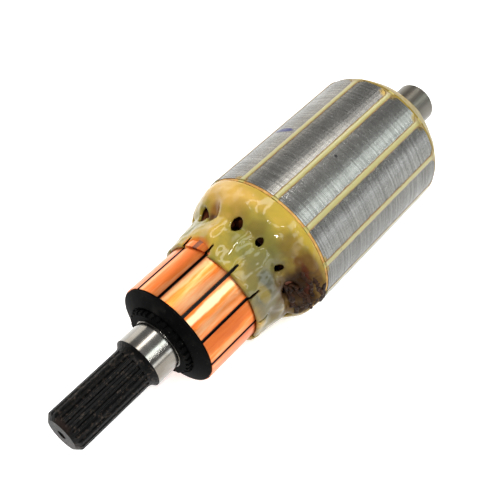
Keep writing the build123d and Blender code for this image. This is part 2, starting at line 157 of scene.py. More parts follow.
def mesh_points(piece: Piece) -> np.ndarray:
    """Read the corner points of a piece.

    Args:
        piece: a mesh object whose place is in its mesh.

    Returns:
        One row of three coordinates in metres for each point.
    """
    points = np.empty(len(piece.data.vertices) * 3)
    piece.data.vertices.foreach_get("co", points)
    return points.reshape(-1, 3)


def set_mesh_points(piece: Piece, points: np.ndarray) -> None:
    """Write the corner points of a piece back.

    Args:
        piece: the mesh object to change.
        points: one row of three coordinates in metres for each point.
    """
    piece.data.vertices.foreach_set("co", points.ravel())
    piece.data.update()


def paint(code: str) -> tuple[float, float, float, float]:
    """Turn a colour as it is seen on a screen into the linear one that a shader takes.

    Args:
        code: the colour as six hexadecimal digits after a hash.

    Returns:
        Red, green, blue and an opaque alpha.
    """
    shares = [int(code[i : i + 2], 16) / 255 for i in (1, 3, 5)]
    linear = [c / 12.92 if c <= 0.04045 else ((c + 0.055) / 1.055) ** 2.4 for c in shares]
    return (linear[0], linear[1], linear[2], 1.0)


@dataclass(frozen=True)
class Patch:
    """An oval patch of another colour round a place; reach and spread are half its size."""

    station: float
    turn: float
    reach: float
    spread: float
    code: str
    share: float
    soft: float = 0.8


class FinishSheet:
    """Node tree of one finish, with short calls for the nodes that the finishes share."""

    def __init__(self, name: str) -> None:
        """Start an empty sheet.

        Args:
            name: name of the finish.
        """
        self.material = bpy.data.materials.new(name)
        self.material.use_nodes = True
        self.tree = self.material.node_tree
        self.shader = self.tree.nodes["Principled BSDF"]

    def node(self, kind: str, **settings: object) -> bpy.types.Node:
        """Add a node.

        Args:
            kind: Blender's name for the node type.
            settings: properties to set on it.

        Returns:
            The new node.
        """
        made = self.tree.nodes.new(kind)
        for name, value in settings.items():
            setattr(made, name, value)
        return made

    def feed(self, socket: Socket, value: object) -> None:
        """Link a socket, or set its number or colour.

        Args:
            socket: the input to fill.
            value: another node's output, or a plain value.
        """
        if isinstance(value, Socket):
            self.tree.links.new(value, socket)
        else:
            socket.default_value = value

    def math(self, operation: str, *values: object) -> Socket:
        """Work out one number.

        Args:
            operation: Blender's name for the sum.
            values: outputs or plain numbers, in order.

        Returns:
            The output that holds the result.
        """
        made = self.node("ShaderNodeMath", operation=operation)
        for socket, value in zip(made.inputs, values):
            self.feed(socket, value)
        return made.outputs[0]

    def total(self, start: object, *parts: tuple[object, float]) -> Socket:
        """Add weighted numbers to a first one.

        Args:
            start: the first number.
            parts: outputs, each with the factor that it counts by.

        Returns:
            The sum.
        """
        result = start
        for value, factor in parts:
            result = self.math("ADD", result, self.math("MULTIPLY", value, factor))
        return result

    @cached_property
    def point(self) -> Socket:
        """Place on the piece, in metres."""
        return self.node("ShaderNodeTexCoord").outputs["Object"]

    @cached_property
    def coordinates(self) -> bpy.types.NodeOutputs:
        """The three coordinates of the place on the piece, in metres."""
        split = self.node("ShaderNodeSeparateXYZ")
        self.feed(split.inputs[0], self.point)
        return split.outputs

    @cached_property
    def station(self) -> Socket:
        """Place along the shaft, in millimetres."""
        return self.math("DIVIDE", self.coordinates[0], MM)

    @cached_property
    def turn(self) -> Socket:
        """Angle round the shaft, in degrees."""
        angle = self.math("ARCTAN2", self.coordinates[2], self.coordinates[1])
        return self.math("MULTIPLY", angle, math.degrees(1.0))

    @cached_property
    def wobble(self) -> Socket:
        """Clouds that make the edge of every patch ragged."""
        return self.noise(220.0, detail=2.0)

    def step(self, value: object, low: float, high: float) -> Socket:
        """Rise smoothly from 0 to 1.

        Args:
            value: the number to test.
            low: where the rise starts.
            high: where it ends; lower than low for a fall.

        Returns:
            The share reached.
        """
        made = self.node("ShaderNodeMapRange", interpolation_type="SMOOTHSTEP")
        ends = (low, high, 0.0, 1.0) if low < high else (high, low, 1.0, 0.0)
        self.feed(made.inputs["Value"], value)
        for socket, end in zip(made.inputs[1:5], ends):
            socket.default_value = end
        return made.outputs["Result"]

    def from_middle(self, value: object, pitch: float) -> Socket:
        """Measure how far a number is from the middle of its step on an even scale.

        Args:
            value: the number.
            pitch: length of the steps, of which one starts at nought.

        Returns:
            The distance as a share of the pitch.
        """
        share = self.math("FRACT", self.math("DIVIDE", value, pitch))
        return self.math("ABSOLUTE", self.math("SUBTRACT", share, 0.5))

    def spot(self, station: float, turn: float, reach: float, spread: float, soft: float) -> Socket:
        """Mark an oval patch on the surface round the shaft.

        Args:
            station: its middle along the shaft, in millimetres.
            turn: its middle round the shaft, in degrees.
            reach: half its length along the shaft.
            spread: half its width round the shaft, in degrees.
            soft: share of its size that fades out.

        Returns:
            1 in the patch and 0 outside it.
        """
        along = self.math("DIVIDE", self.math("SUBTRACT", self.station, station), reach)
        around = self.math("DIVIDE", self.math("SUBTRACT", self.turn, turn), spread)
        far = self.math("ADD", self.math("POWER", along, 2.0), self.math("POWER", around, 2.0))
        ragged = self.math("ADD", self.math("SQRT", far), self.math("SUBTRACT", self.wobble, 0.5))
        return self.step(ragged, 1.0 + soft / 2, 1.0 - soft / 2)

    def from_nearest(self, phase: float) -> Socket:
        """Measure how far round the shaft the nearest of the evenly spaced slots or slits is.

        Args:
            phase: angle of one of them, in degrees.

        Returns:
            The angle in degrees.
        """
        shifted = self.math("ADD", self.turn, FULL_TURN + PITCH / 2 - phase)
        return self.math("MULTIPLY", self.from_middle(shifted, PITCH), PITCH)

    def noise(
        self,
        scale: float,
        detail: float = 3.0,
        rough: float = 0.5,
        stretch: tuple[float, float, float] = (1.0, 1.0, 1.0),
        distortion: float = 0.0,
    ) -> Socket:
        """Give a cloudy number from 0 to 1.

        Args:
            scale: clouds to the metre.
            detail: number of finer layers.
            rough: strength of the finer layers.
            stretch: factor on each coordinate.
            distortion: how far the clouds are swirled.

        Returns:
            The output that holds it.
        """
        moved = self.node("ShaderNodeMapping")
        self.feed(moved.inputs["Vector"], self.point)
        moved.inputs["Scale"].default_value = stretch
        made = self.node("ShaderNodeTexNoise")
        self.feed(made.inputs["Vector"], moved.outputs[0])
        made.inputs["Scale"].default_value = scale
        made.inputs["Detail"].default_value = detail
        made.inputs["Roughness"].default_value = rough
        made.inputs["Distortion"].default_value = distortion
        return made.outputs[0]

    def mix(self, share: object, first: object, second: object) -> Socket:
        """Blend two colours.

        Args:
            share: 0 for the first, 1 for the second.
            first: an output or a colour.
            second: an output or a colour.

        Returns:
            The blended colour.
        """
        made = self.node("ShaderNodeMix", data_type="RGBA")
        self.feed(made.inputs[0], share)
        self.feed(made.inputs[6], first)
        self.feed(made.inputs[7], second)
        return made.outputs[2]

    def over(self, base: object, mask: object, share: float, code: str) -> Socket:
        """Lay one colour over another.

        Args:
            base: the colour below, an output or a colour.
            mask: where the new colour goes, from 0 to 1.
            share: how well it covers there.
            code: the new colour.

        Returns:
            The blended colour.
        """
        return self.mix(self.math("MULTIPLY", mask, share), base, paint(code))

    def lay(self, base: object, patches: tuple[Patch, ...]) -> Socket:
        """Lay patches over a colour.

        Args:
            base: the colour below.
            patches: the patches, lowest first.

        Returns:
            The blended colour.
        """
        for patch in patches:
            mask = self.spot(patch.station, patch.turn, patch.reach, patch.spread, patch.soft)
            base = self.over(base, mask, patch.share, patch.code)
        return base

    def tones(self, share: object, *stops: tuple[float, str]) -> Socket:
        """Run a number through a row of colours.

        Args:
            share: the number, from 0 to 1.
            stops: place and colour of each stop.

        Returns:
            The colour at that number.
        """
        made = self.node("ShaderNodeValToRGB")
        elements = made.color_ramp.elements
        while len(elements) < len(stops):
            elements.new(0.5)
        for element, (place, code) in zip(elements, stops):
            element.position = place
            element.color = paint(code)
        self.feed(made.inputs[0], share)
        return made.outputs[0]

    def relief(self, *layers: tuple[object, float]) -> None:
        """Give the surface a fine relief.

        Args:
            layers: height outputs, each with its depth in millimetres.
        """
        below = None
        for height, depth in layers:
            made = self.node("ShaderNodeBump")
            made.inputs["Distance"].default_value = depth * MM
            made.inputs["Strength"].default_value = 1.0
            self.feed(made.inputs["Height"], height)
            if below is not None:
                self.feed(made.inputs["Normal"], below)
            below = made.outputs[0]
        self.feed(self.shader.inputs["Normal"], below)

    def set(self, **inputs: object) -> None:
        """Fill inputs of the shader.

        Args:
            inputs: names with underscores for spaces, and an output or a plain value each.
        """
        for name, value in inputs.items():
            self.feed(self.shader.inputs[name.replace("_", " ")], value)


@dataclass(frozen=True)
class CoreSteelFinish:
    """Ground edges of the laminations: bare grey steel, finely lined across the shaft, with painted shade
    in two broad patches.
    """

    SHADE_GREY: ClassVar[str] = "#4b4a49"
    PEN: ClassVar[str] = "#12185c"
    NICK: ClassVar[str] = "#3c3a3c"
    RUN: ClassVar[str] = "#8d7530"
    # Painted shade: darker grey along the lower side of the core at turn 8, and over its top near the
    # rear end at turn 83.
    PAINTED_SHADE: ClassVar[tuple[Patch, ...]] = (
        Patch(-84.0, 8.0, 45.0, 15.0, SHADE_GREY, 0.45, 0.7),
        Patch(-108.0, 83.0, 18.0, 13.0, SHADE_GREY, 0.45, 0.7),
    )
    MARKS: ClassVar[tuple[Patch, ...]] = (
        Patch(-81.3, 125.0, 1.1, 10.0, PEN, 1.0, 0.3),
        Patch(-79.3, 73.8, 0.5, 1.3, NICK, 1.0, 0.4),
        Patch(-108.5, 82.5, 0.5, 1.3, NICK, 1.0, 0.4),
        Patch(-113.8, 81.5, 2.6, 7.0, RUN, 0.8, 0.5),
        Patch(-113.9, 51.0, 2.2, 7.0, RUN, 0.8, 0.5),
        Patch(-113.8, 112.0, 1.5, 5.0, RUN, 0.8, 0.5),
        Patch(-53.8, 112.0, 1.2, 6.0, RUN, 0.8, 0.5),
        Patch(-53.6, 20.0, 1.0, 7.0, RUN, 0.8, 0.5),
    )
    pale: str = "#93928f"
    middle: str = "#83827e"
    dark: str = "#605f5c"
    seam: str = "#454442"
    rust: str = "#6b4a30"

    def build(self) -> Material:
        """Make the finish."""
        sheet = FinishSheet("core_steel_finish")
        lines = sheet.noise(1500.0, detail=2.0, stretch=(1.0, 0.004, 0.004))
        grain = sheet.noise(900.0, detail=5.0, rough=0.75, stretch=(1.0, 0.6, 0.6))
        cloud = sheet.step(sheet.noise(75.0, detail=3.0), 0.4, 0.7)
        land = sheet.step(sheet.from_middle(sheet.station, LAMINATION), 0.42, 0.22)
        mixed = sheet.total(0.0, (lines, 0.7), (grain, 0.3))
        base = sheet.tones(mixed, (0.34, self.dark), (0.5, self.middle), (0.66, self.pale))
        base = sheet.over(base, cloud, 0.5, self.middle)
        # Lay the painted shade.
        base = sheet.lay(base, self.PAINTED_SHADE)
        base = sheet.over(base, sheet.math("SUBTRACT", 1.0, land), 0.4, self.seam)
        specks = sheet.step(sheet.noise(1500.0, detail=2.0), 0.72, 0.78)
        base = sheet.over(base, specks, 0.5, self.rust)
        base = sheet.lay(base, self.MARKS)
        sheet.set(Base_Color=base, Metallic=0.8, Roughness=sheet.total(0.18, (grain, 0.16)))
        sheet.relief((land, 0.022), (lines, 0.005), (grain, 0.0004))
        return sheet.material


@dataclass(frozen=True)
class ShaftFinish:
    """Ground bearing seats, and a black oxide skin on the splined end."""

    steel: str = "#8f8d89"
    worn: str = "#766f65"
    rear: str = "#5a564d"
    oxide: str = "#040404"
    speck: str = "#53473e"
    bare: str = "#261b16"
    rear_start: float = -114.0
    oxide_start: float = 4.2
    tip_start: float = 31.4
    tip_end: float = 33.2

    def build(self) -> Material:
        """Make the finish."""
        sheet = FinishSheet("shaft_finish")
        rear = sheet.step(sheet.station, self.rear_start, self.rear_start - 1.0)
        black = sheet.step(sheet.station, self.oxide_start - 0.02, self.oxide_start + 0.02)
        tip = sheet.step(sheet.station, self.tip_start, self.tip_end)
        grind = sheet.noise(1800.0, detail=2.0, stretch=(1.0, 0.03, 0.03))
        cloud = sheet.noise(140.0, detail=4.0)
        steel = sheet.over(paint(self.steel), sheet.step(cloud, 0.35, 0.75), 1.0, self.worn)
        steel = sheet.over(steel, rear, 0.8, self.rear)
        specks = sheet.step(sheet.noise(750.0, detail=4.0, rough=0.75), 0.53, 0.68)
        skin = sheet.over(paint(self.oxide), specks, 0.5, self.speck)
        worn_tip = sheet.math("MULTIPLY", tip, sheet.step(cloud, 0.4, 0.6))
        skin = sheet.over(skin, worn_tip, 1.0, self.bare)
        sheet.set(Base_Color=sheet.mix(black, steel, skin), Specular_IOR_Level=0.12)
        sheet.set(Metallic=sheet.total(1.0, (black, -0.8)))
        sheet.set(Roughness=sheet.total(0.15, (grind, 0.08), (rear, 0.2), (black, 0.3)))
        pits = sheet.math("MULTIPLY", sheet.noise(1100.0, detail=4.0), black)
        sheet.relief((grind, 0.003), (pits, 0.2))
        return sheet.material


@dataclass(frozen=True)
class CopperFinish:
    """Brush track: turned copper, stained along the edges, with painted highlights and painted shade in
    bands along the shaft at fixed turns.
    """

    # Painted highlights in cream at turns 58 and 91.5; painted shade in brown at turn 27 and in deeper
    # orange at turn 110.
    PAINTED_LIGHT_BANDS: ClassVar[tuple[Patch, ...]] = (
        Patch(-17.5, 58.0, 13.0, 4.0, "#ead3ab", 0.55, 0.6),
        Patch(-17.5, 91.5, 13.0, 4.0, "#e8c08a", 0.5, 0.6),
        Patch(-17.5, 27.0, 13.0, 9.0, "#9c4a1e", 0.6, 0.6),
        Patch(-17.5, 110.0, 13.0, 7.0, "#d0651f", 0.6, 0.6),
    )
    bright: str = "#efc798"
    copper: str = "#d8742e"
    stain: str = "#b24a14"
    soot: str = "#160b06"

    def build(self) -> Material:
        """Make the finish."""
        sheet = FinishSheet("track_copper_finish")
        turning = sheet.noise(2200.0, detail=2.0, stretch=(1.0, 0.02, 0.02))
        cloud = sheet.noise(260.0, detail=4.0, rough=0.6, stretch=(0.12, 1.0, 1.0))
        base = sheet.tones(cloud, (0.28, self.stain), (0.48, self.copper), (0.82, self.bright))
        # Lay the painted highlights and painted shade.
        base = sheet.lay(base, self.PAINTED_LIGHT_BANDS)
        fleck = sheet.step(sheet.noise(1600.0, detail=3.0, rough=0.7), 0.62, 0.74)
        base = sheet.over(base, fleck, 0.35, self.stain)
        from_slit = sheet.from_nearest(SLOT_PHASE + PITCH / 2)
        ragged = sheet.total(from_slit, (sheet.noise(500.0, detail=3.0), 2.0))
        base = sheet.over(base, sheet.step(ragged, 6.0, 2.0), 0.75, self.stain)
        base = sheet.over(base, sheet.step(from_slit, 1.95, 1.55), 1.0, self.soot)
        sheet.set(Base_Color=base, Metallic=0.85, Roughness=sheet.total(0.26, (turning, 0.14)))
        sheet.relief((turning, 0.006), (sheet.noise(700.0, detail=3.0), 0.008))
        return sheet.material


@dataclass(frozen=True)
class MouldingFinish:
    """Black thermoset of the hub, with pale dust and pits, and a painted highlight on the top of its
    front.
    """

    black: str = "#070707"
    dust: str = "#514f4c"
    painted_highlight: str = "#7d7b77"

    def build(self) -> Material:
        """Make the finish."""
        sheet = FinishSheet("hub_moulding_finish")
        speck = sheet.step(sheet.noise(1300.0, detail=3.0, rough=0.7), 0.66, 0.74)
        cloud = sheet.step(sheet.noise(120.0, detail=3.0), 0.5, 0.8)
        grime = sheet.total(0.0, (speck, 0.7), (cloud, 0.25))
        base = sheet.over(paint(self.black), grime, 1.0, self.dust)
        # Painted highlight: pale grey laid in patches over the top of the hub's front, at turn 78.
        highlight_spot = sheet.spot(-7.4, 78.0, 2.2, 6.0, 0.8)
        highlight_mask = sheet.math("MULTIPLY", highlight_spot, sheet.step(cloud, 0.1, 0.5))
        base = sheet.over(base, highlight_mask, 0.7, self.painted_highlight)
        sheet.set(Base_Color=base, Roughness=sheet.total(0.6, (cloud, 0.2)), Specular_IOR_Level=0.02)
        sheet.relief((sheet.noise(260.0, detail=4.0), 0.08), (speck, 0.03))
        return sheet.material


@dataclass(frozen=True)
class ResinFinish:
    """Impregnating resin: glossy amber yellow, going olive and brown in places, with painted shade,
    painted shadows and a painted highlight on the front.
    """

    name: str
    stained_and_painted: bool = True
    yellow: str = "#a68c33"
    pale: str = "#c29b4c"
    olive: str = "#777133"
    shade_olive: str = "#57512f"
    sage: str = "#5d5a38"
    shade_slate: str = "#3f4338"
    shade_grey: str = "#4a4a3c"
    shadow_tan: str = "#6b511f"
    brown: str = "#5a4120"
    amber: str = "#84521f"
    orange: str = "#c8641f"
    red: str = "#43170d"
    umber: str = "#3a1c12"
    char: str = "#24140a"

    def build(self) -> Material:
        """Make the finish."""
        sheet = FinishSheet(self.name)
        cloud = sheet.noise(90.0, detail=3.0, distortion=0.4)
        base = sheet.tones(cloud, (0.3, self.olive), (0.5, self.yellow), (0.72, self.pale))
        rough = sheet.total(0.3, (cloud, 0.2))
        gloss = 0.15
        if self.stained_and_painted:
            # Lay the stains and burns with the painted shade, painted shadows and painted highlight.
            base = sheet.lay(base, self._stains_and_painted_light())
            burnt = sheet.spot(BURN_STATION + 0.5, BURN_TURN, 8.0, 34.0, 0.7)
            rough = sheet.total(rough, (burnt, 0.35))
            gloss = sheet.total(0.65, (burnt, -0.58))
        sheet.set(Base_Color=base, Roughness=rough, Coat_Weight=gloss)
        sheet.set(IOR=1.45, Specular_IOR_Level=0.04, Coat_Roughness=0.01)
        sheet.relief((sheet.noise(160.0, detail=1.0), 0.5), (sheet.noise(340.0, detail=3.0), 0.04))
        return sheet.material

    def _stains_and_painted_light(self) -> tuple[Patch, ...]:
        """List the stains, burns, painted shade, painted shadows and painted highlight of the front
        resin, lowest first.
        """
        return (
            # Painted highlight: pale cream over the front resin at turn 118.
            Patch(-49.0, 118.0, 5.0, 30.0, self.pale, 0.9),
            Patch(-40.0, 66.0, 6.5, 30.0, self.olive, 0.7),
            # Painted shade: grey olive and blue grey over the lower side of the front resin, from turn 42
            # down to turn -12.
            Patch(-35.0, 42.0, 9.0, 24.0, self.sage, 0.8),
            Patch(-35.5, 40.0, 2.6, 9.0, self.shade_slate, 0.7),
            Patch(-34.0, 18.0, 7.0, 20.0, self.shade_grey, 0.8),
            Patch(-34.5, -12.0, 7.5, 18.0, self.shade_olive, 0.8),
            Patch(-32.5, 30.0, 1.7, 10.0, self.yellow, 0.35),
            # Painted shadows: tan beside the holes, at turns 46, 96 and 76.
            Patch(-46.5, 46.0, 3.2, 15.0, self.shadow_tan, 0.7),
            Patch(-43.5, 96.0, 3.4, 9.0, self.shadow_tan, 0.25),
            Patch(-42.0, 76.0, 2.8, 7.0, self.shadow_tan, 0.4),
            Patch(-49.5, 24.0, 3.4, 14.0, self.brown, 0.9),
            Patch(-46.0, 33.0, 1.6, 7.0, self.red, 0.7),
            Patch(-44.5, 4.0, 9.0, 34.0, self.brown, 0.95),
            Patch(-43.0, 16.0, 5.0, 14.0, self.char, 0.9),
            Patch(-45.5, -8.0, 3.0, 12.0, self.char, 0.9),
            Patch(-46.5, 26.0, 0.8, 7.0, self.red, 0.7),
            Patch(-45.6, 10.0, 0.8, 8.0, self.red, 0.7),
            Patch(-52.0, 62.0, 1.9, 46.0, self.yellow, 0.7),
            # Painted shade: brown and dark brown inside the round recess at turn 124.
            Patch(-43.0, 123.0, 1.9, 7.0, self.amber, 0.8),
            Patch(-41.6, 125.0, 1.2, 5.0, self.umber, 0.8),
            Patch(-29.6, 112.0, 2.7, 14.0, self.orange, 0.95),
        )


@dataclass(frozen=True)
class PlainFinish:
    """A finish of two close tones with a fine grain."""

    name: str
    light: str
    dark: str
    rough: float
    grain: float = 400.0
    metallic: float = 0.0
    depth: float = 0.03
    shine: float = 0.5

    def build(self) -> Material:
        """Make the finish."""
        sheet = FinishSheet(self.name)
        grain = sheet.noise(self.grain, detail=4.0, rough=0.6)
        sheet.set(Base_Color=sheet.tones(grain, (0.32, self.dark), (0.66, self.light)))
        sheet.set(Metallic=self.metallic, Specular_IOR_Level=self.shine)
        sheet.set(Roughness=sheet.total(self.rough, (grain, 0.15)))
        sheet.relief((grain, self.depth))
        return sheet.material


@dataclass(frozen=True)
class SlotVarnishFinish:
    """Varnish that closes the slots: olive yellow with burnt orange edges."""

    middle: str = "#989058"
    edge: str = "#7a5422"
    soot: str = "#40341c"
    fan: str = "#7d6a2b"
    fan_start: float = -111.8
    fan_end: float = -113.4

    def build(self) -> Material:
        """Make the finish."""
        sheet = FinishSheet("slot_varnish_finish")
        ragged = sheet.total(sheet.from_nearest(SLOT_PHASE), (sheet.noise(700.0, detail=3.0), 1.0))
        base = sheet.over(paint(self.middle), sheet.step(ragged, 1.7, 2.7), 1.0, self.edge)
        fan = sheet.step(sheet.station, self.fan_start, self.fan_end)
        base = sheet.over(base, fan, 0.8, self.fan)
        specks = sheet.step(sheet.noise(900.0, detail=2.0), 0.68, 0.76)
        base = sheet.over(base, specks, 0.6, self.soot)
        sheet.set(Base_Color=base, Roughness=0.28, Coat_Weight=0.3, Coat_Roughness=0.1)
        sheet.relief((sheet.noise(300.0, detail=3.0), 0.08))
        return sheet.material


def choose(piece: Piece) -> None:
    """Make one piece the only selected and active one.

    Args:
        piece: the piece that the next operators act on.
    """
    for other in bpy.context.view_layer.objects:
        other.select_set(False)
    piece.select_set(True)
    bpy.context.view_layer.objects.active = piece


@contextmanager
def editing(piece: Piece) -> Iterator[None]:
    """Hold a piece in edit mode, with all of it selected at the start.

    Args:
        piece: the piece to edit.
    """
    choose(piece)
    bpy.ops.object.mode_set(mode="EDIT")
    bpy.ops.mesh.select_all(action="SELECT")
    yield
    bpy.ops.object.mode_set(mode="OBJECT")


def smooth(piece: Piece) -> None:
    """Shade a piece smoothly all over.

    Args:
        piece: the piece.
    """
    choose(piece)
    bpy.ops.object.shade_smooth()


def apply_modifier(piece: Piece, kind: str, **settings: object) -> None:
    """Give a piece a modifier and apply it.

    Args:
        piece: the piece to change.
        kind: Blender's name for the modifier.
        settings: properties to set on it.
    """
    choose(piece)
    made = piece.modifiers.new("shape", kind)
    for name, value in settings.items():
        setattr(made, name, value)
    bpy.ops.object.modifier_apply(modifier=made.name)


def cast_of(node: str, name: str) -> Piece:
    """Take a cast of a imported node, to be worked on as a piece of its own.

    Args:
        node: name of the node.
        name: name of the new piece.

    Returns:
        The new piece, with its points joined.
    """
    piece = bpy.data.objects.new(name, frame["nodes"][node].data.copy())
    piece.data.name = name
    bpy.context.scene.collection.objects.link(piece)
    with editing(piece):
        bpy.ops.mesh.remove_doubles(threshold=CAST_WELD * MM)
    return piece


def join(pieces: list[Piece], name: str) -> Piece:
    """Join pieces into one, shaded smoothly.

    Args:
        pieces: the pieces.
        name: name of the whole.

    Returns:
        The joined piece.
    """
    choose(pieces[0])
    for piece in pieces[1:]:
        piece.select_set(True)
    bpy.ops.object.join()
    joined = bpy.context.object
    joined.name = joined.data.name = name
    smooth(joined)
    return joined


def dress(piece: Piece, finish: Material) -> None:
    """Give a piece one finish all over.

    Args:
        piece: the piece.
        finish: its material.
    """
    piece.data.materials.clear()
    piece.data.materials.append(finish)


def settle(piece: Piece, nodes: tuple[str, ...] = ()) -> None:
    """Put a finished piece on the armature's body.

    Args:
        piece: the piece.
        nodes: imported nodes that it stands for.
    """
    if nodes:
        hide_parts(*nodes)
    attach(piece, BODY)
    LOG.info("%s: %d faces", piece.name, len(piece.data.polygons))


def polar(points: np.ndarray) -> tuple[np.ndarray, np.ndarray, np.ndarray]:
    """Turn points into the armature's own measures.

    Args:
        points: rows of coordinates in metres.

    Returns:
        Station and radius in millimetres and turn in degrees, one row each.
    """
    radius = np.hypot(points[:, 1], points[:, 2]) / MM
    turn = np.degrees(np.arctan2(points[:, 2], points[:, 1]))
    return points[:, 0] / MM, radius, turn


def from_polar(station: np.ndarray, radius: np.ndarray, radians: np.ndarray) -> np.ndarray:
    """Turn the armature's own measures into points.

    Args:
        station: places along the shaft, in millimetres.
        radius: distances from its axis, in millimetres.
        radians: angles round it.

    Returns:
        Rows of coordinates in metres.
    """
    return np.column_stack([station, radius * np.cos(radians), radius * np.sin(radians)]) * MM


def round_away(turn: np.ndarray, middle: float) -> np.ndarray:
    """Measure angles from one, the short way round.

    Args:
        turn: angles in degrees.
        middle: the angle to measure from.

    Returns:
        Differences between -180 and 180.
    """
    return (turn - middle + FULL_TURN / 2) % FULL_TURN - FULL_TURN / 2


@dataclass(frozen=True)
class Cloud:
    """One layer of smooth random relief, both sizes in millimetres."""

    size: float
    seed: float
    height: float


def clouds(points: np.ndarray, *layers: Cloud) -> np.ndarray:
    """Add up layers of smooth random relief.

    Args:
        points: rows of coordinates in metres.
        layers: the layers.

    Returns:
        One height for each point, in millimetres.
    """
    total = np.zeros(len(points))
    for layer in layers:
        scaled = points / (layer.size * MM) + layer.seed
        total += layer.height * np.array([noise.noise(Vector(row)) for row in scaled])
    return total


@dataclass
class Core:
    """Lamination stack: its ground teeth and the varnish in its slots."""

    land_rise: float = 0.02
    land_root: float = 0.05
    land_gap: float = 0.1
    land_weld: float = 0.001
    groove_slope: float = 0.04
    jitter: float = 0.012
    jitter_seed: int = 7
    arc_steps: int = 8
    mouth: float = 2.1
    varnish_half: float = 1.0
    varnish_rise: float = 0.07
    varnish_sink: float = 0.03
    varnish_wall: float = 0.12
    varnish_rows: int = 150
    varnish_columns: int = 8
    fan_length: float = 2.2
    fan_half: float = 3.0
    extent: Extent = field(default_factory=lambda: Extent.of(CORE_NODE))

    def build(self, steel: Material, varnish: Material) -> None:
        """Model and dress the pieces.

        Args:
            steel: finish of the laminations.
            varnish: finish of the slot varnish.
        """
        dress(frame["nodes"][CORE_NODE], steel)
        lands = self._lands()
        dress(lands, steel)
        settle(lands)
        strips = self._slot_varnish()
        dress(strips, varnish)
        settle(strips)

    def _lands(self) -> Piece:
        """Model the edge of every lamination on every tooth."""
        extent = self.extent
        half_mouth = math.degrees(math.asin(self.mouth / 2 / extent.radius))
        bpy.ops.mesh.primitive_plane_add(size=1.0)
        piece = bpy.context.object
        piece.name = piece.data.name = "lamination_edges"
        bottom = extent.radius - self.land_root
        top = extent.radius + self.land_rise
        start = extent.rear + self.land_gap / 2
        end = extent.rear + LAMINATION - self.land_gap / 2
        corners = np.array(
            [
                (start, bottom, 0.0),
                (end, bottom, 0.0),
                (start + self.groove_slope, top, 0.0),
                (end - self.groove_slope, top, 0.0),
            ]
        )
        set_mesh_points(piece, corners * MM)
        with editing(piece):
            bpy.ops.mesh.spin(
                steps=self.arc_steps,
                angle=math.radians(PITCH - 2 * half_mouth),
                center=(0.0, 0.0, 0.0),
                axis=(1.0, 0.0, 0.0),
            )
            bpy.ops.mesh.select_all(action="SELECT")
            bpy.ops.mesh.remove_doubles(threshold=self.land_weld * MM)
            bpy.ops.mesh.normals_make_consistent(inside=False)
        points = mesh_points(piece)
        _, _, turn = polar(points)
        lead = SLOT_PHASE + half_mouth - float(turn.min())
        turned = points @ np.array(Matrix.Rotation(math.radians(lead), 3, "X")).T
        set_mesh_points(piece, turned)
        self._ring(piece)
        count = round((extent.front - extent.rear) / LAMINATION)
        apply_modifier(
            piece,
            "ARRAY",
            count=count,
            use_relative_offset=False,
            use_constant_offset=True,
            constant_offset_displace=(LAMINATION * MM, 0.0, 0.0),
        )
        self._jitter(piece, count)
        return piece

    def _ring(self, piece: Piece) -> None:
        """Repeat a piece at every slot pitch.

        Args:
            piece: the piece at one pitch; it becomes the whole ring.
        """
        with editing(piece):
            for _ in range(SLOT_COUNT - 1):
                bpy.ops.mesh.duplicate()
                bpy.ops.transform.rotate(
                    value=math.radians(PITCH),
                    orient_axis="X",
                    orient_type="GLOBAL",
                    center_override=(0.0, 0.0, 0.0),
                )

    def _jitter(self, piece: Piece, count: int) -> None:
        """Let each lamination stand a hair higher or lower than its neighbours.

        Args:
            piece: all the lamination edges.
            count: number of laminations.
        """
        draws = np.random.default_rng(self.jitter_seed).normal(0.0, self.jitter, count)
        points = mesh_points(piece)
        station, radius, _ = polar(points)
        index = np.clip(((station - self.extent.rear) / LAMINATION).astype(int), 0, count - 1)
        raised = radius > self.extent.radius
        scale = np.where(raised, 1.0 + draws[index] / radius, 1.0)
        points[:, 1] *= scale
        points[:, 2] *= scale
        set_mesh_points(piece, points)

    def _slot_varnish(self) -> Piece:
        """Model the strips of varnish over the slots, spread at the rear edge of the core."""
        strips = []
        for index in range(SLOT_COUNT):
            bpy.ops.mesh.primitive_grid_add(
                x_subdivisions=self.varnish_rows, y_subdivisions=self.varnish_columns, size=1.0
            )
            strip = bpy.context.object
            strip.name = f"slot_varnish_{index + 1:02d}"
            self._lay_strip(strip, index)
            apply_modifier(strip, "SOLIDIFY", thickness=self.varnish_wall * MM, offset=-1.0)
            strips.append(strip)
        return join(strips, "slot_varnish")

    def _lay_strip(self, strip: Piece, index: int) -> None:
        """Lay a flat grid over one slot, with wavy edges.

        Args:
            strip: a grid from -0.5 to 0.5 both ways.
            index: number of the slot.
        """
        points = mesh_points(strip)
        along = (points[:, 0] + 0.5) * (self.extent.front - self.extent.rear)
        across = points[:, 1] * 2
        flat = np.column_stack([along * MM, np.full(len(along), index * 0.05), np.sign(across) * 0.02])
        wave = clouds(flat, Cloud(2.2, 3.7 + index, 0.22), Cloud(0.8, 9.1 + index, 0.12))
        rear_share = np.clip(1.0 - along / self.fan_length, 0.0, 1.0)
        half = self.varnish_half + wave + (self.fan_half - self.varnish_half) * rear_share**2
        crown = 1.0 - np.abs(across) ** 3
        foot = self.extent.radius - self.varnish_sink
        radius = foot + (self.varnish_rise + self.varnish_sink) * crown
        turn = np.radians(SLOT_PHASE + index * PITCH) + across * half / self.extent.radius
        set_mesh_points(strip, from_polar(self.extent.rear + along, radius, turn))


@dataclass(frozen=True)
class Swelling:
    """A lump in the resin, or a dent where its height is negative."""

    station: float
    turn: float
    reach: float
    spread: float
    height: float

    def away(self, station: np.ndarray, turn: np.ndarray) -> np.ndarray:
        """Measure how far places are from the middle, squared, where 1 is its edge.

        Args:
            station: places along the shaft, in millimetres.
            turn: places round the shaft, in degrees.

        Returns:
            One number for each place.
        """
        along = (station - self.station) / self.reach
        around = round_away(turn, self.turn) / self.spread
        return along**2 + around**2


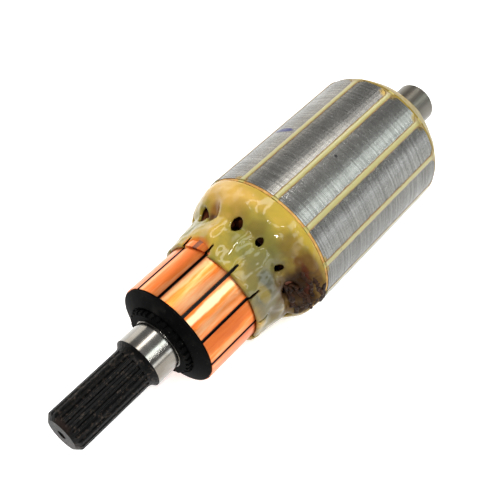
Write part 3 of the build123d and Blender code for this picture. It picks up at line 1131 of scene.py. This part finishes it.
FRONT_SWELLINGS = (
    Swelling(-43.0, 123.8, 2.5, 7.0, -3.00),
    Swelling(-48.5, 127.0, 3.0, 12.0, 0.80),
    Swelling(-41.5, 92.5, 2.3, 7.5, -1.60),
    Swelling(-46.3, 95.0, 2.4, 13.0, 0.88),
    Swelling(-41.2, 67.5, 1.8, 6.0, -1.12),
    Swelling(-45.8, 70.0, 2.0, 8.0, 0.80),
    Swelling(-41.0, 38.8, 1.8, 6.0, -1.28),
    Swelling(-42.0, 15.0, 3.0, 8.0, -2.08),
    Swelling(-49.8, 62.0, 2.2, 15.0, 0.64),
    Swelling(-47.2, 38.5, 2.4, 8.0, -0.96),
    Swelling(-37.0, 80.0, 3.6, 4.5, 0.88),
    Swelling(-36.0, 106.0, 4.0, 5.0, 0.80),
    Swelling(-36.5, 52.0, 3.6, 5.0, 0.88),
    Swelling(-34.5, 25.0, 4.0, 5.5, 0.96),
    Swelling(-32.0, 66.0, 2.2, 3.2, -0.56),
    Swelling(-46.0, 0.0, 4.5, 20.0, 0.64),
    Swelling(-37.2, 8.0, 2.4, 9.0, 1.10),
    Swelling(-33.6, 1.0, 1.8, 9.0, -1.00),
    Swelling(-41.2, -5.0, 1.8, 9.0, -1.10),
    Swelling(-38.6, 29.0, 1.4, 4.0, -0.80),
    Swelling(-29.2, 111.0, 2.6, 13.0, -2.60),
    Swelling(-28.0, 97.5, 1.3, 4.0, -1.92),
)


@dataclass
class WindingResin:
    """Resin over one end of the winding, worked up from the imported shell."""

    KNOTS: ClassVar[tuple[Cloud, ...]] = (Cloud(2.6, 8.2, 0.9), Cloud(1.2, 2.2, 0.25))
    side: Side
    node: str
    voxel: float
    lump: float = 0.7
    ripple: float = 0.22
    foot_gap: float = 0.8
    foot_rise: float = 3.0
    facing_gain: float = 2.0
    facing_lift: float = 0.3
    burn: float = 0.0
    bare_depth: float = 0.9
    swellings: tuple[Swelling, ...] = ()

    def build(self, finish: Material) -> Piece:
        """Model and dress the piece.

        Args:
            finish: finish of the resin.

        Returns:
            The finished skin.
        """
        piece = cast_of(self.node, f"{self.node}_skin")
        apply_modifier(piece, "REMESH", mode="VOXEL", voxel_size=self.voxel * MM, use_smooth_shade=True)
        self._work(piece)
        apply_modifier(piece, "SMOOTH", factor=0.5, iterations=3)
        smooth(piece)
        dress(piece, finish)
        settle(piece, (self.node,))
        return piece

    def _work(self, piece: Piece) -> None:
        """Press lumps, ripples and dents into the outer skin.

        Args:
            piece: the remeshed shell.
        """
        points = mesh_points(piece)
        normals = np.empty(len(points) * 3)
        piece.data.vertices.foreach_get("normal", normals)
        outward = points.copy()
        outward[:, 0] = 0.0
        outward /= np.maximum(np.linalg.norm(outward, axis=1), 1e-9)[:, None]
        facing = (normals.reshape(-1, 3) * outward).sum(1) * self.facing_gain + self.facing_lift
        facing = np.clip(facing, 0.0, 1.0)
        height = self._heights(points)
        facing = np.where(height < -self.bare_depth, 1.0, facing)
        points += outward * (height * facing * MM)[:, None]
        set_mesh_points(piece, points)

    def _heights(self, points: np.ndarray) -> np.ndarray:
        """Work out how far each point moves away from the shaft.

        Args:
            points: rows of coordinates in metres.

        Returns:
            Heights in millimetres, negative for a dent.
        """
        station, _, turn = polar(points)
        core = Extent.of(CORE_NODE)
        foot = core.front if self.side is Side.FRONT else core.rear
        height = clouds(points, Cloud(6.5, 1.3, self.lump), Cloud(2.4, 5.9, self.ripple))
        height *= np.clip((np.abs(station - foot) - self.foot_gap) / self.foot_rise, 0.0, 1.0)
        for swelling in self.swellings:
            height += swelling.height * np.exp(-swelling.away(station, turn))
        if self.burn:
            patch = Swelling(BURN_STATION, BURN_TURN, BURN_REACH, BURN_SPREAD, self.burn)
            share = np.exp(-(patch.away(station, turn) ** 2))
            height += patch.height * share * clouds(points, *self.KNOTS)
        return height


@dataclass(frozen=True)
class SkinMap:
    """Radii of a skin round the shaft, to be looked up by station and turn."""

    FLOOR: ClassVar[float] = 17.5
    ARC: ClassVar[float] = 0.38
    NEIGHBOURS: ClassVar[int] = 6
    tree: kdtree.KDTree
    radii: np.ndarray

    @classmethod
    def of(cls, skin: Piece) -> "SkinMap":
        """Index the outer points of a skin, with a degree round the shaft as ARC millimetres.

        Args:
            skin: the finished skin.

        Returns:
            The map of its points beyond the radius FLOOR.
        """
        station, radius, turn = polar(mesh_points(skin))
        outer = np.nonzero(radius > cls.FLOOR)[0]
        tree = kdtree.KDTree(len(outer))
        for row, index in enumerate(outer):
            tree.insert((station[index], turn[index] * cls.ARC, 0.0), row)
        tree.balance()
        return cls(tree, radius[outer])

    def radius(self, station: float, turn: float) -> float:
        """Give the skin's mean radius round a place.

        Args:
            station: the place along the shaft, in millimetres.
            turn: the place round the shaft, in degrees.

        Returns:
            The radius in millimetres.
        """
        near = self.tree.find_n((station, turn * self.ARC, 0.0), self.NEIGHBOURS)
        return float(np.mean([self.radii[found[1]] for found in near]))


@dataclass
class BurntStrands:
    """Wires of the end turns that show where the front resin is burnt away."""

    count: int = 9
    wire: float = 0.7
    sides: int = 8
    steps: int = 40
    spacing: float = 1.3
    sweep: float = 44.0
    shortest: float = 0.6
    stagger: float = 9.0
    lean: float = 2.2
    wander: float = 1.1
    proud: float = 0.45
    weave: float = 0.6
    taper_start: float = 0.8
    taper_depth: float = 6.0
    seed: int = 11

    def build(self, skin: Piece, finish: Material) -> None:
        """Model and dress the piece.

        Args:
            skin: the finished front resin, which the wires lie on.
            finish: finish of the burnt wires.
        """
        draws = np.random.default_rng(self.seed)
        below = SkinMap.of(skin)
        strands = []
        for index in range(self.count):
            station = BURN_STATION + (index - (self.count - 1) / 2) * self.spacing
            start = BURN_TURN - self.sweep / 2 + draws.uniform(-self.stagger, self.stagger)
            sweep = draws.uniform(self.shortest, 1.0) * self.sweep
            strand = self._strand(index)
            self._lay(strand, below, station, start, sweep, index)
            strands.append(strand)
        joined = join(strands, "burnt_strands")
        dress(joined, finish)
        settle(joined)

    def _strand(self, index: int) -> Piece:
        """Model one straight wire of unit length along X.

        Args:
            index: number of the wire.

        Returns:
            The wire, with closed ends.
        """
        bpy.ops.mesh.primitive_cylinder_add(
            vertices=self.sides, radius=self.wire * MM, depth=1.0, rotation=(0.0, math.pi / 2, 0.0)
        )
        strand = bpy.context.object
        strand.name = f"burnt_strand_{index + 1:02d}"
        choose(strand)
        bpy.ops.object.transform_apply(location=True, rotation=True, scale=True)
        with editing(strand):
            for cut in range(1, self.steps):
                place = (cut / self.steps - 0.5, 0.0, 0.0)
                bpy.ops.mesh.select_all(action="SELECT")
                bpy.ops.mesh.bisect(plane_co=place, plane_no=(1.0, 0.0, 0.0), use_fill=False)
        return strand

    def _lay(
        self,
        strand: Piece,
        below: SkinMap,
        station: float,
        start: float,
        sweep: float,
        index: int,
    ) -> None:
        """Bend a wire round the shaft over the skin.

        Args:
            strand: the straight wire.
            below: the skin that it lies on.
            station: its middle station, in millimetres.
            start: where it starts round the shaft, in degrees.
            sweep: how far it goes round, in degrees.
            index: number of the wire.
        """
        points = mesh_points(strand)
        along = points[:, 0] + 0.5
        turn = start + along * sweep
        flat = np.column_stack([along * 0.02, np.full(len(along), index * 0.03), np.zeros(len(along))])
        middle = station + ((along - 0.5) * self.lean + clouds(flat, Cloud(6.0, 4.4, self.wander)))
        sunk = self.proud * self.wire + clouds(flat, Cloud(5.0, 7.7, self.weave))
        ends = np.maximum(np.abs(along - 0.5) * 2 - self.taper_start, 0.0) * self.taper_depth
        rest = np.array([below.radius(place, angle) for place, angle in zip(middle, turn)])
        radius = rest + sunk - ends + points[:, 2] / MM
        set_mesh_points(strand, from_polar(middle + points[:, 1] / MM, radius, np.radians(turn)))
        with editing(strand):
            bpy.ops.mesh.normals_make_consistent(inside=False)


@dataclass(frozen=True)
class Softbox:
    """A long lamp beside the shaft, with its brightness as a level where 1 is white."""

    name: str
    turn: float
    width: float
    level: float
    tint: tuple[float, float, float] = (1.0, 1.0, 1.0)
    station: float = -360.0
    length: float = 850.0


@dataclass
class Studio:
    """Camera, pale floor and soft lamps. The floor's size is in metres."""

    SKY: ClassVar = ((0.0, 0.62), (0.3, 0.2), (0.55, 0.3), (1.0, 0.34))
    LAMPS: ClassVar[tuple[Softbox, ...]] = (
        Softbox("cool_softbox", 53.0, 160.0, 4.6, (0.9, 1.0, 0.98)),
        Softbox("side_softbox", 11.0, 120.0, 3.0, (0.92, 0.97, 1.0)),
        Softbox("warm_softbox", 105.0, 130.0, 6.5, (1.0, 0.97, 0.93)),
        Softbox("window_softbox", 165.0, 320.0, 1.7, (1.0, 0.95, 0.86)),
        Softbox("edge_strip", 41.0, 5.0, 30.0),
        Softbox("glint_strip", 88.0, 16.0, 130.0, station=60.0, length=220.0),
        Softbox("low_glint_strip", 66.0, 14.0, 120.0, station=160.0, length=160.0),
    )
    lens: float = 61.2
    sensor: float = 36.0
    camera_place: tuple[float, float, float] = (81.985, 106.948, 211.283)
    camera_look: tuple[float, float, float] = (-0.48171, -0.40169, -0.77884)
    floor_size: float = 8.0
    floor_gap: float = 0.2
    floor_dark: str = "#f6f6f6"
    floor_pale: str = "#fafafa"
    floor_glow: float = 0.5
    lamp_reach: float = 600.0

    def build(self) -> None:
        """Set up the studio."""
        self._camera()
        self._floor()
        self._sky()
        for box in self.LAMPS:
            self._hang(box)
        bpy.context.scene.view_settings.view_transform = "Standard"
        LOG.info("studio ready")

    def _camera(self) -> None:
        """Place the camera at the photograph's viewing angle."""
        data = bpy.data.cameras.new("camera")
        data.lens = self.lens
        data.sensor_width = self.sensor
        data.clip_start = 0.01
        data.clip_end = 20.0
        camera = bpy.data.objects.new("camera", data)
        camera.location = Vector(self.camera_place) * MM
        camera.rotation_mode = "QUATERNION"
        camera.rotation_quaternion = Vector(self.camera_look).to_track_quat("-Z", "Y")
        bpy.context.scene.collection.objects.link(camera)
        bpy.context.scene.camera = camera

    def _floor(self) -> None:
        """Lay a pale floor under the core."""
        low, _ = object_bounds()
        place = (0.0, 0.0, low.z - self.floor_gap * MM)
        bpy.ops.mesh.primitive_plane_add(size=self.floor_size, location=place)
        floor = bpy.context.object
        floor.name = "floor"
        sheet = FinishSheet("floor_finish")
        tones = sheet.tones(sheet.noise(30.0, detail=2.0), (0.0, self.floor_dark), (1.0, self.floor_pale))
        sheet.set(Base_Color=tones, Roughness=0.85)
        path = sheet.node("ShaderNodeLightPath").outputs
        seen = sheet.math("MAXIMUM", path["Is Camera Ray"], path["Is Glossy Ray"])
        seen = sheet.math("MAXIMUM", seen, path["Is Transmission Ray"])
        sheet.set(Emission_Color=(1.0, 1.0, 1.0, 1.0))
        sheet.set(Emission_Strength=sheet.math("MULTIPLY", seen, self.floor_glow))
        floor.data.materials.append(sheet.material)
        floor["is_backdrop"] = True

    def _sky(self) -> None:
        """Light the room: dim towards the horizon and brighter above."""
        world = bpy.data.worlds.new("room")
        world.use_nodes = True
        bpy.context.scene.world = world
        tree = world.node_tree
        coordinate = tree.nodes.new("ShaderNodeTexCoord")
        split = tree.nodes.new("ShaderNodeSeparateXYZ")
        ramp = tree.nodes.new("ShaderNodeValToRGB")
        tree.links.new(coordinate.outputs["Generated"], split.inputs[0])
        tree.links.new(split.outputs[2], ramp.inputs[0])
        elements = ramp.color_ramp.elements
        elements.new(0.35)
        elements.new(0.75)
        for element, (place, level) in zip(elements, self.SKY):
            element.position = place
            element.color = (level, level, level * 1.02, 1.0)
        tree.links.new(ramp.outputs[0], tree.nodes["Background"].inputs["Color"])
        tree.nodes["Background"].inputs["Strength"].default_value = 1.0

    def _hang(self, box: Softbox) -> None:
        """Hang a softbox at its place, facing the shaft.

        Args:
            box: the lamp.
        """
        data = bpy.data.lights.new(box.name, "AREA")
        data.shape = "RECTANGLE"
        data.size = box.length * MM
        data.size_y = box.width * MM
        data.color = box.tint
        data.energy = box.level * math.pi * data.size * data.size_y
        lamp = bpy.data.objects.new(box.name, data)
        angle = math.radians(box.turn)
        inward = Vector((0.0, -math.cos(angle), -math.sin(angle)))
        along = Vector((1.0, 0.0, 0.0))
        turned = Matrix([along, (-inward).cross(along), -inward]).transposed().to_4x4()
        middle = Vector((box.station, 0.0, 0.0)) * MM - inward * self.lamp_reach * MM
        lamp.matrix_world = Matrix.Translation(middle) @ turned
        bpy.context.scene.collection.objects.link(lamp)


def dress_nodes() -> None:
    """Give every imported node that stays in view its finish."""
    paper = PlainFinish("slot_paper_finish", "#c89a4e", "#9c6a2c", 0.6).build()
    bush = PlainFinish("bush_steel_finish", "#a8a6a2", "#84827e", 0.35, metallic=1.0).build()
    finishes = {
        "shaft": ShaftFinish().build(),
        "commutator_bar": CopperFinish().build(),
        "commutator_hub": MouldingFinish().build(),
        "commutator_bush": bush,
        "mica_segments": PlainFinish("mica_finish", "#15110e", "#0a0807", 0.7).build(),
        "coil": PlainFinish("enamel_wire_finish", "#8c4a26", "#4c2414", 0.3, metallic=0.4).build(),
        "slot_liners": paper,
        "front_end_disc": paper,
        "rear_end_disc": PlainFinish("rear_disc_finish", "#8a7534", "#6b5523", 0.7, shine=0.1).build(),
        "slot_wedge": PlainFinish("slot_wedge_finish", "#b3a55c", "#968644", 0.5).build(),
    }
    for node, piece in frame["nodes"].items():
        for start, finish in finishes.items():
            if node.startswith(start):
                dress(piece, finish)
    LOG.info("%d packed nodes dressed", len(frame["nodes"]))


def main() -> None:
    """Build the armature's looks and the studio."""
    logging.basicConfig(level=logging.INFO, format="%(name)s: %(message)s")
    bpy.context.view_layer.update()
    dress_nodes()
    Core().build(CoreSteelFinish().build(), SlotVarnishFinish().build())
    voxel = VOXEL
    front = WindingResin(Side.FRONT, "resin_front", voxel, burn=2.0, swellings=FRONT_SWELLINGS)
    skin = front.build(ResinFinish("front_resin_finish").build())
    burnt_wire = PlainFinish(
        "burnt_wire_finish", "#3a200f", "#0e0703", 0.5, grain=500.0, depth=0.04, shine=0.12
    )
    BurntStrands().build(skin, burnt_wire.build())
    rear = WindingResin(Side.REAR, "resin_rear", voxel, lump=0.3, ripple=0.12)
    # Painted shade: the rear resin takes darker copies of the resin colours.
    shaded_rear_finish = ResinFinish(
        "rear_resin_shaded_finish", stained_and_painted=False, yellow="#7d6a24", pale="#94772c", olive="#5f5925"
    )
    rear.build(shaded_rear_finish.build())
    Studio().build()


if __name__ == "__main__":
    main()
